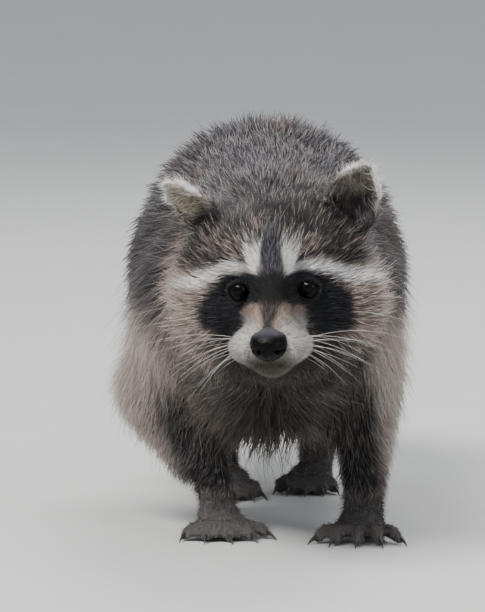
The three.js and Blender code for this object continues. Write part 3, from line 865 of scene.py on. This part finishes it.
# The lie of the hair: back from the nose over the face and body, down the legs, forward over the
# paws, and out to the tips of the ears and tail.
source = np.zeros((len(skin_places), 3))  # where the hair of the face seems to spring from
source[:, 1] = -62
source[:, 2] = np.interp(in_head[:, 2], [-30, -10, 12], [-24, -15, -6])
face_flow = unit(in_head - source)
face_flow[:, 2] -= 0.55 * ramp(-in_head[:, 2], 18, 45)
flow = np.tile([0.0, 1.0, -0.28], (len(skin_places), 1))
flow[:, 2] -= 0.5 * (1 - np.abs(skin_normals[:, 2]))
set_on(flow, (
    (("head",), face_flow @ head_axes),
    (("tail",), (0.04, 0.88, -0.46)),
    (("foreleg", "hindleg"), (0, 0.25, -1)),
    (("forepaw", "hindpaw"), (0, -1, -0.25)),
    (("ear",), ear_flow),
))
flow[:, 0] += np.sign(skin_places[:, 0] - BODY_MIDDLE) * (0.45 * on("neck") + 0.25 * on("foreleg"))
flow = lie_flat(spread(flow, 10), skin_normals)

# Its length, and how steeply it leaves the skin.
belly = ramp(-skin_normals[:, 2], 0.4, 0.9)
jaw = ramp(-in_head[:, 2] - 0.35 * in_head[:, 1], 46, 58) * ramp(from_nose, 38, 60)
hair_length = 32 + 10 * belly
set_on(hair_length, (
    (("tail",), np.interp(skin_places[:, 1], [330, 370], [36, 20])),
    (("neck",), 27 + 10 * belly),
    (("head",), 9 * cheek + 7 * jaw + np.interp(
        from_nose, [0, 25, 45, 62, 85, 105, 125, 150], [2.0, 3.2, 4.4, 7, 10.5, 14, 20, 25])),
    (("foreleg", "hindleg"), np.interp(height, [24, 40, 60, 100, 150], [7, 11, 15, 21, 30])),
    (("forepaw", "hindpaw"), np.interp(height, [8, 20, 36], [3, 5.5, 10])),
))
hair_length = spread(hair_length, 8)
rim, front = parts["ear_rim"], parts["ear_front"]
set_on(hair_length, ((("ear",), 3.4 + 2.4 * rim + 3.0 * parts["ear_base"] + 5.0 * parts["ear_foot"]),))
hair_length *= ramp(opening, 2, 40) * 0.75 + 0.25
hair_lift = np.clip(coat_depth / hair_length, LEAST_LIFT, MOST_LIFT)
valley = np.clip(5 * spread(on("ear"), 20) * spread(on("head", "neck"), 20), 0, 1)
hair_lift = np.maximum(hair_lift, 0.42 * valley)
set_on(hair_lift, ((("ear",), 0.32 + 0.15 * rim - 0.14 * front * (1 - rim)),))
bald = (opening < 3) | (from_nose < 12) | ((height < 3.0) & (skin_normals[:, 2] < -0.4))

out_to = np.abs(flesh_places).max(axis=0) + REACH_PAST_SOLIDS
face_areas = np.linalg.norm(face_crosses(skin_places, skin_faces), axis=1) / 2
face_bald = bald[skin_faces].sum(axis=1) >= 2
coat_finish = hair_finish("coat", 0.55, 0.3, 900, 0.15)


def laid_flat(faces):
    """Where the corners of these faces of the hide come to lie when it is cut and laid out flat."""
    hide = mesh_from("hide_part", skin_places, skin_faces[faces])
    holder = add_object("hide_part", hide)
    for other in bpy.context.selected_objects:
        other.select_set(False)
    holder.select_set(True)
    bpy.context.view_layer.objects.active = holder
    bpy.ops.object.mode_set(mode="EDIT")
    bpy.ops.mesh.select_all(action="SELECT")
    bpy.ops.uv.smart_project(angle_limit=math.radians(66), island_margin=0.004)
    bpy.ops.object.mode_set(mode="OBJECT")
    flat = read_whole(hide.uv_layers.active.data, "uv", 2)
    bpy.data.objects.remove(holder)
    bpy.data.meshes.remove(hide)
    return flat.reshape(-1, 3, 2)


def neighbours(roots, cell, wander, scale, seeds):
    """The number of the cell that each root stands in, of a grid with wandering walls."""
    shift = np.stack([waves(roots, scale, seed) for seed in seeds], axis=1)
    cells = np.floor(roots / cell + wander * shift).astype(int)
    return np.unique(cells, axis=0, return_inverse=True)[1].reshape(-1)


def grow(name, chosen, per_area, width, turn, clump, gather, seed, curved=False, reach=1.0, strand=2.0,
         wild=0.0, fair=1.0):
    """One piece of coat on the chosen faces: locks per square mm, their width at the root in mm, how
    many degrees they wander, the size of the clumps they form and how tightly those are gathered,
    whether they bend, what share of the coat's full length they reach, how wide a strand of one
    colour is, how much they stand off, and how fair they are (0 is the fairest)."""
    rng = np.random.default_rng(seed)
    faces = np.flatnonzero(chosen & ~face_bald)
    edges = np.concatenate([[0], np.cumsum(face_areas[faces])])
    count = int(edges[-1] * per_area)
    spots = (np.arange(count) + rng.uniform(size=count)) / count * edges[-1]
    picked = np.clip(np.searchsorted(edges, spots) - 1, 0, len(faces) - 1)
    r, q = np.sqrt(rng.uniform(size=count)), rng.uniform(size=count)
    weights = np.stack([1 - r, r * (1 - q), r * q], axis=1)
    corners = skin_faces[faces[picked]]

    def at_root(values):
        return np.einsum("ij,ij...->i...", weights, values[corners])

    roots = at_root(skin_places)
    normals = unit(at_root(skin_normals))
    lie = lie_flat(at_root(flow), normals)
    turns = np.radians(turn) * (0.6 * rng.normal(size=count) + 0.8 * waves(roots, 14, seed + 50))
    lie = lie * np.cos(turns)[:, None] + np.cross(normals, lie) * np.sin(turns)[:, None]
    stray = rng.uniform(size=count) < (0.03 if curved else 0)
    length = at_root(hair_length) * np.clip(rng.normal(1, 0.17, count), 0.5, 1.5)
    length = (length * reach * (1 + 0.2 * stray))[:, None]
    lift = at_root(hair_lift) * rng.normal(1.0, 0.2, count) + 0.12 * stray + wild
    lift = np.clip(lift, 0.05, 0.9)[:, None]

    strands = neighbours(roots, strand, 0.5, 5, (seed + 4, seed + 5, seed + 6))
    shared = rng.uniform(size=strands.max() + 1)[strands]
    luck = fair * np.where(rng.uniform(size=count) < 0.8, shared, rng.uniform(size=count))
    part = {word: at_root(values) for word, values in parts.items()}
    shades = hair_colours(roots + 0.55 * length * lie, normals, part, luck)
    root_shade, middle_shade, tip_shade = shades * rng.normal(1, 0.1, count)[:, None]

    tips = roots + length * (lie * np.sqrt(1 - lift**2) + normals * lift)
    if clump:
        home = neighbours(roots, clump, 0.35, 9, (seed + 1, seed + 2, seed + 3))
        middle_of_clump = np.stack([np.bincount(home, tips[:, k]) for k in range(3)], axis=1)
        middle_of_clump /= np.bincount(home)[:, None]
        tips += gather * (middle_of_clump[home] - tips)
    tips = np.maximum(np.clip(tips, -out_to, out_to), [-np.inf, -np.inf, 0.3])

    thick = width * np.clip(rng.normal(1, 0.2, count), 0.6, 1.5) * (1 - 0.4 * stray)
    along = unit(tips - roots)
    across = unit(np.cross(normals, along))
    above = np.cross(along, across)
    rings = [(roots - normals * ROOT_DEPTH, 1.0, root_shade)]
    faces_of_lock = [(2, 1, 0), (0, 1, 3), (1, 2, 3), (2, 0, 3)]
    tip_colour = 0.6 * tip_shade + 0.4 * middle_shade
    if curved:
        bent = roots + 0.5 * (tips - roots) + normals * (length * lift * 0.22)
        rings.append((bent, 0.85, middle_shade))
        faces_of_lock = [(2, 1, 0), (3, 4, 6), (4, 5, 6), (5, 3, 6)]
        for k, n in ((0, 1), (1, 2), (2, 0)):
            faces_of_lock += [(k, n, n + 3), (k, n + 3, k + 3)]
        tip_colour = tip_shade
    places, colours = [], []
    for centre, size, shade in rings:
        for angle in np.radians((90, 210, 330)):
            offset = across * math.cos(angle) + 0.7 * above * math.sin(angle)
            places.append(centre + offset * (0.5 * size * thick)[:, None])
            colours.append(shade)
    places = np.stack([*places, tips], axis=1)
    colours = np.stack([*colours, tip_colour], axis=1)
    places[:, :, 2] = np.maximum(places[:, :, 2], FLOOR_GAP)
    each = places.shape[1]
    lock_faces = (np.arange(count)[:, None, None] * each + np.array(faces_of_lock)).reshape(-1, 3)
    mesh = mesh_from(name, places.reshape(-1, 3), lock_faces)
    home = np.einsum("ij,ijk->ik", weights, laid_flat(faces)[picked])
    offsets = np.array([*BAKE_CORNERS[: each - 1], BAKE_TIP])
    on_hide = (home[:, None] + BAKE_PATCH * offsets).reshape(-1, 2)
    mesh.uv_layers.new(name="OFBake").data.foreach_set("uv", on_hide[lock_faces.ravel()].ravel())
    paint(mesh, np.clip(colours.reshape(-1, 3), 0, 1))
    mesh.materials.append(coat_finish)
    piece = add_object(name, mesh)
    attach(piece, "root")


def middle_of(values):
    """A value of the skin's vertices, at the middle of each face."""
    return values[skin_faces].mean(axis=1)


def faces_on(*words):
    return middle_of(on(*words).astype(float)) > 0.5


on_head, on_ears, nose_reach = faces_on("head"), faces_on("ear"), middle_of(from_nose)
muzzle = on_head & (nose_reach < 42)
face = on_head & (nose_reach < 68) & ~muzzle
crown = on_head & ~(nose_reach < 68) & (middle_of(in_head[:, 2]) > 2)
cheeks = on_head & ~(nose_reach < 68) & ~crown
grow("coat_muzzle", muzzle, 4.6, 0.26, 20, 1.6, 0.3, 101, reach=1.25, strand=0.9, wild=0.12)
grow("coat_face", face, 4.0, 0.32, 12, 2.5, 0.2, 102, strand=1.4)
grow("coat_crown", crown, 3.0, 0.4, 17, 3, 0.4, 103, strand=1.3)
grow("coat_cheeks", cheeks, 0.95, 0.46, 14, 5, 0.3, 113, True)
grow("under_cheeks", cheeks, 1.1, 0.45, 14, 3, 0.2, 123, reach=0.65)
grow("coat_ears", on_ears, 3.2, 0.3, 14, 0, 0, 104, strand=1.2)
grow("coat_ear_wisps", on_ears, 0.3, 0.24, 24, 0, 0, 115, True, 1.8, 1.0, 0.1, fair=0.45)
grow("coat_crown_wisps", crown, 0.22, 0.44, 20, 4, 0.2, 116, True, 1.15, 1.5, 0.04, fair=0.4)

# ---------------------------------------------------------------------------------------------
# Coat of the neck, trunk and tail: coarse guard hairs over a dense, shorter under coat, as deep
# here as anywhere on the animal. Both grow from the hide and lie backwards and down.

neck, trunk, tail = faces_on("neck"), faces_on("trunk"), faces_on("tail")
middle_y = middle_of(skin_places[:, 1])
shoulders = trunk & (middle_y < -40)
back = trunk & (middle_y >= -40) & (middle_y < 40)
rump = trunk & (middle_y >= 40)
# name, faces, then for guard hair and under coat: locks per square mm, width in mm
# and degrees of wander; size of clumps, how they are gathered; first seed; width of a strand
for name, faces, guard, under, clumps, gather, seed, strand in (
    ("neck", neck, (0.36, 0.6, 15), (0.5, 0.6, 16), (8, 5), 0.4, 105, 3.0),
    ("shoulders", shoulders, (0.17, 0.8, 14), (0.25, 0.78, 16), (9, 6), 0.4, 106, 3.5),
    ("back", back, (0.15, 0.85, 14), (0.25, 0.85, 16), (9, 6), 0.4, 107, 4.0),
    ("rump", rump, (0.15, 0.85, 14), (0.25, 0.85, 16), (9, 6), 0.4, 108, 4.0),
    ("tail", tail, (0.17, 0.85, 14), (0.26, 0.85, 16), (9, 6), 0.3, 109, 3.5),
):
    grow(f"coat_{name}", faces, *guard, clumps[0], gather, seed, True, strand=strand)
    grow(f"under_{name}", faces, *under, clumps[1], 0.2, seed + 20, reach=0.65, strand=strand)

# ---------------------------------------------------------------------------------------------
# Coat of the legs and paws: shorter guard hair over an under coat down the legs, and only short
# close fur on the feet. It grows from the hide, downwards on the legs and forwards on the toes.

forelegs, hindlegs = faces_on("foreleg"), faces_on("hindleg")
grow("coat_forelegs", forelegs, 0.36, 0.55, 15, 6, 0.35, 110, True, strand=2.5)
grow("under_forelegs", forelegs, 0.48, 0.55, 16, 4, 0.2, 130, reach=0.7, strand=2.5)
grow("coat_hindlegs", hindlegs, 0.24, 0.65, 14, 6, 0.3, 111, True, strand=3.0)
grow("under_hindlegs", hindlegs, 0.36, 0.65, 16, 4, 0.2, 131, reach=0.7, strand=3.0)
grow("coat_paws", faces_on("forepaw", "hindpaw"), 0.85, 0.42, 14, 0, 0, 112, reach=1.15, strand=1.6)

# ---------------------------------------------------------------------------------------------
# Wisps: long pale guard hairs, few and far apart, that stand out of the coat of the cheeks, neck,
# shoulders and forelegs and break its outline. They are rooted in the hide like the rest.

wisps = cheeks | neck | forelegs | (shoulders & (middle_y < -120))
wisps &= (middle_of(height) < 190) & (nose_reach > 55)
grow("coat_wisps", wisps, 0.07, 0.34, 22, 12, 0.3, 114, True, 1.25, 2.0, 0.12, fair=0.12)

# ---------------------------------------------------------------------------------------------
# Eyes: glass, nearly black with a deep brown iris and a round pupil, set in from behind the lids.
# The clear cornea bulges a little over the iris.

CORNEA_BULGE = 0.55
PUPIL_RADIUS, IRIS_RADIUS = 2.7, 5.2
EYE_SHRINK = 0.25  # play between glass and lid
EYE_SIDES = 48


def capped_faces(rows, sides):
    """Triangles of a closed form made of this many rings, with a point before the first and one
    after the last."""
    faces = []
    for here in range(sides):
        after = (here + 1) % sides
        last = 1 + (rows - 1) * sides
        faces += [(0, 1 + after, 1 + here), (last + sides, last + here, last + after)]
        for row in range(rows - 1):
            a, b = 1 + row * sides + here, 1 + row * sides + after
            faces += [(a, b, b + sides), (a, b + sides, a + sides)]
    return np.array(faces)


eye_glass, shader = start_finish("eye_glass", {
    "Roughness": 0.1, "Specular IOR Level": 0.02, "Coat Weight": 0.13, "Coat Roughness": 0.02})
fibres = add_node(eye_glass, "TexNoise", {
    "Vector": add_node(eye_glass, "TexCoord").outputs["Object"], "Scale": 700})
streaked = {"Factor": 0.6, 6: painted(eye_glass), 7: fibres.outputs["Color"]}
blend = add_node(eye_glass, "Mix", streaked, data_type="RGBA", blend_type="MULTIPLY")
connect(eye_glass, shader, {"Base Color": blend.outputs[2]})

# Radius and distance forward of each ring, from the point of the cornea round to the back.
ball = EYE_RADIUS - EYE_SHRINK
turns = np.radians(np.linspace(0, 62, 34))
out = ball + CORNEA_BULGE * fade(np.degrees(turns), 14, 44)
radii = np.array([*(out * np.sin(turns)), 0.72 * ball, 0.45 * ball, 0])
forward = np.array([*(out * np.cos(turns)), 0.3 * ball, 0.12 * ball, 0.05 * ball])
around = np.linspace(0, 2 * np.pi, EYE_SIDES, endpoint=False)
rings = np.stack([
    radii[1:-1, None] * np.cos(around), np.tile(-forward[1:-1, None], EYE_SIDES),
    radii[1:-1, None] * np.sin(around)], axis=2)
glass_places = np.vstack([[0, -forward[0], 0], rings.reshape(-1, 3), [0, -forward[-1], 0]])
radius = np.hypot(glass_places[:, 0], glass_places[:, 2])
iris = ramp(radius, PUPIL_RADIUS - 0.3, PUPIL_RADIUS + 0.3)
iris *= (glass_places[:, 1] < 0) * fade(radius, IRIS_RADIUS - 0.6, IRIS_RADIUS)
glass_shade = lay(np.tile((0.0022, 0.002, 0.0022), (len(radius), 1)), (0.006, 0.0036, 0.0026), iris)

for side, name in ((1, "left"), (-1, "right")):
    back_axis = -unit(np.array([side * 0.16, -1, 0.06]))
    right_axis = unit(np.cross(back_axis, np.array([0, 0, 1.0])))
    axes = np.array([right_axis, back_axis, np.cross(right_axis, back_axis)])
    places = from_head(glass_places @ axes + np.array([side * eye_x, eye_y, eye_z]))
    mesh = mesh_from(f"glass_eye_{name}", places, capped_faces(len(rings), EYE_SIDES))
    paint(mesh, glass_shade)
    mesh.materials.append(eye_glass)
    eye = add_object(f"glass_eye_{name}", mesh)
    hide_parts(f"eye_{name}")
    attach(eye, "root")

# ---------------------------------------------------------------------------------------------
# Nose: a bare leathery pad, damp and nearly black, flat on top and round below, with a comma-shaped
# nostril on each side and a groove down the middle of the lip side. Its flat top carries a painted
# highlight, a lighter bluish grey, and its nostrils are painted darker as painted shade.

NOSE_HALF = np.array([11.5, 9.8, 11.6])
NOSE_TILT = math.radians(-4)
NOSE_ROWS, NOSE_SIDES = 88, 120

polar = np.linspace(0, np.pi, NOSE_ROWS + 2)[1:-1]
around = np.linspace(0, 2 * np.pi, NOSE_SIDES, endpoint=False)
polar, around = np.meshgrid(polar, around, indexing="ij")
way = np.stack([np.sin(polar) * np.cos(around), -np.cos(polar), np.sin(polar) * np.sin(around)], axis=2)
way = np.vstack([[0, -1, 0], way.reshape(-1, 3), [0, 1, 0]])
x, y, z = (unit(np.sign(way) * np.abs(way) ** 0.8) * NOSE_HALF).T
x = x * (1 - 0.1 * ramp(z, 3, 10) - 0.1 * ramp(-z, 5, 11.6))
y = y + 1.6 * ramp(z, 1, 8) - 0.9 * np.exp(-((z + 1.5) ** 2) / 22)  # leans back at the top
z = np.where(z > 0, z - 2.0 * ramp(z, 4.5, 10), z + 0.3 * ramp(-z, 6, 11))
front = ramp(-way[:, 1], 0.05, 0.35)
side_x = np.abs(x)
comma = np.hypot((side_x - 5.8) / 1.6, (z + 4.2) / 1.25)  # 1 on the nostril's edge
pit = fade(comma, 0.45, 1.15) * front
slit = hump(z + 4.4 - 0.25 * (side_x - 6), 0.8) * ramp(side_x, 5.5, 7.5) * fade(side_x, 9.6, 11.5)
groove = 0.85 * hump(x, 0.75) * fade(z, -1.5, 3.5) * front
rim = 0.45 * hump(comma - 1.35, 0.3) * front
hollow = 2.8 * pit + 1.5 * slit + groove - rim
places = np.stack([x, y, z], axis=1) - unit(way / NOSE_HALF) * hollow[:, None]
sine, cosine = math.sin(NOSE_TILT), math.cos(NOSE_TILT)
tilted = places @ np.array([[1, 0, 0], [0, cosine, sine], [0, -sine, cosine]])
tilted = from_head(tilted + to_head(centre_of("nose")))
nose_mesh = mesh_from("nose_pad", tilted, capped_faces(NOSE_ROWS, NOSE_SIDES)[:, ::-1])
leather = np.tile((0.002, 0.002, 0.0023), (len(places), 1))
# Painted highlight: the flat top of the pad is painted a lighter bluish grey, standing in for the sheen
# of light on it.
leather = lay(leather, (0.074, 0.071, 0.082), ramp(places[:, 2], 3.0, 8.5) * 0.8)
# Painted shade: the nostril pits and slits are painted darker still than the pad.
paint(nose_mesh, lay(leather, (0.001, 0.001, 0.001), np.clip(pit * 1.2 + slit * 0.9, 0, 1)))

nose_leather, shader = start_finish("nose_leather", {"Specular IOR Level": 0.08})
place = add_node(nose_leather, "TexCoord").outputs["Object"]
pebbles = add_node(nose_leather, "TexVoronoi", {"Vector": place, "Scale": 1150}).outputs["Distance"]
damp = add_node(nose_leather, "MapRange", {"Value": pebbles, "To Min": 0.2, "To Max": 0.32})
bump = add_node(nose_leather, "Bump", {"Strength": 0.5, "Distance": 0.0003, "Height": pebbles})
connect(nose_leather, shader, {
    "Base Color": painted(nose_leather), "Roughness": damp.outputs["Result"],
    "Normal": bump.outputs["Normal"]})
nose_mesh.materials.append(nose_leather)
nose = add_object("nose_pad", nose_mesh)
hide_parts("nose")
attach(nose, "root")

# ---------------------------------------------------------------------------------------------
# Whiskers: stiff white bristles in four rows on each side of the muzzle, with a few over the eyes
# and on the cheeks. Each is drawn down to a point and droops a little.

WHISKER_SIDES, WHISKER_RINGS = 5, 8


def spike(centres, across, above, tip, sides):
    """A closed spike: oval rings about these centres, reaching this far across and above, and a
    point at the tip."""
    turns = (2 * np.pi * np.arange(sides) / sides)[:, None]
    rings = centres[:, None] + across[:, None] * np.cos(turns) + above[:, None] * np.sin(turns)
    faces = [(0, k + 1, k) for k in range(1, sides - 1)]
    last = (len(centres) - 1) * sides
    for k in range(sides):
        after = (k + 1) % sides
        faces.append((last + k, last + after, last + sides))
        for a, b in zip(range(k, last, sides), range(after, last, sides)):
            faces += [(a, b, b + sides), (a, b + sides, a + sides)]
    return np.vstack([rings.reshape(-1, 3), tip]), np.array(faces)


def bristle(start, way, droop, long, thick):
    share = np.linspace(0, 1, WHISKER_RINGS + 1)[:, None]
    line = start + way * share * long + np.array([0, 0, -droop]) * share**2 * long
    along = unit(np.gradient(line, axis=0))
    across = unit(np.cross(along, np.array([0.2, 0.1, 1.0])))
    half = 0.5 * thick * (1 - share) ** 0.8
    wide, tall = across * half, np.cross(along, across) * half
    return spike(line[:-1], wide[:-1], tall[:-1], line[-1], WHISKER_SIDES)


skin_tree = BVHTree.FromPolygons(skin_places.tolist(), skin_faces.tolist())
rng = np.random.default_rng(77)
whisker_shapes = []


def add_bristle(root, way, droop, long, thick):
    """A whisker rooted at the skin nearest to this place in the head's frame."""
    start = np.array(skin_tree.find_nearest(Vector(from_head(root)))[0])
    way = unit(np.array(way, dtype=float) + rng.normal(0, 0.09, 3)) @ head_axes
    shape = bristle(start - 0.8 * way, way, droop, long, thick)
    while (np.abs(shape[0]) >= out_to).any():
        long *= 0.95
        shape = bristle(start - 0.8 * way, way, droop, long, thick)
    whisker_shapes.append(shape)


for side in (1, -1):
    for row in range(4):
        for place in range(4):
            root = (side * (17 + 2.4 * place + 0.8 * row), -47 + 5.2 * place + 1.2 * row, -22 - 3.6 * row)
            way = (side * (1.0 - 0.04 * row), -0.42 + 0.24 * place, 0.28 - 0.2 * row - 0.05 * place)
            long = (44 + 11 * place - 9 * row) * rng.uniform(0.65, 1.15)
            add_bristle(root, way, rng.uniform(0.15, 0.45), long, 0.2 + 0.03 * place)
    for x, z, lean in ((24, 14, 0.9), (20, 15, 0.6), (28, 12, 1.1)):
        add_bristle((side * x, -6, z), (side * 0.5 * lean, -0.75, 0.75), 0.1, 30, 0.26)
    for x, y, z in ((50, 22, -12), (47, 18, -20)):
        add_bristle((side * x, y, z), (side * 1.0, -0.25, 0.05), 0.16, 55, 0.27)

whisker_mesh = mesh_from("whiskers", *joined(whisker_shapes))
whisker_tones = (0.42, 0.39, 0.36), (0.92, 0.9, 0.87)
whisker_mesh.materials.append(clouded_finish("whisker", 0.35, 60, *whisker_tones, dark_to=0.35))
whiskers = add_object("whiskers", whisker_mesh)
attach(whiskers, "root")

# ---------------------------------------------------------------------------------------------
# Claws: dark brown horn, one on each toe, curved down to a worn point and glossy along the back.
# Each grows out of the end of its toe, and its point comes down just clear of the floor.

CLAW_THICK = 3.4
CLAW_RINGS, CLAW_SIDES = 8, 10
CLAW_DROP, CLAW_CURL = -4, -46  # degrees below level at the root, and added on the way to the point


def claw(root, way):
    share = np.arange(CLAW_RINGS)[:, None] / CLAW_RINGS
    bend = np.radians(CLAW_DROP + CLAW_CURL * share)
    headings = way * np.cos(bend) + np.array([0, 0, 1.0]) * np.sin(bend)
    steps = headings * CLAW_LENGTH / CLAW_RINGS
    centres = root + np.cumsum(np.vstack([[0, 0, 0], steps[1:]]), axis=0)
    across = unit(np.cross(way, np.array([0, 0, 1.0])))
    half = 0.5 * CLAW_THICK * (1 - share) ** 0.75
    above = np.cross(across, headings) * half
    return spike(centres, across * 0.62 * half, above, centres[-1] + steps[-1], CLAW_SIDES)


claw_shapes = [claw(tip - CLAW_LENGTH * 0.93 * way + [0, 0, 4.0], way) for tip, way in claws_at]
claw_places, claw_faces = joined(claw_shapes)
claw_places[:, 2] = np.maximum(claw_places[:, 2], FLOOR_GAP)
claw_mesh = mesh_from("claws", claw_places, claw_faces)
claw_tones = (0.018, 0.013, 0.01), (0.075, 0.058, 0.045)
claw_mesh.materials.append(clouded_finish("claw_horn", 0.3, 500, *claw_tones))
claws = add_object("claws", claw_mesh)
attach(claws, "root")
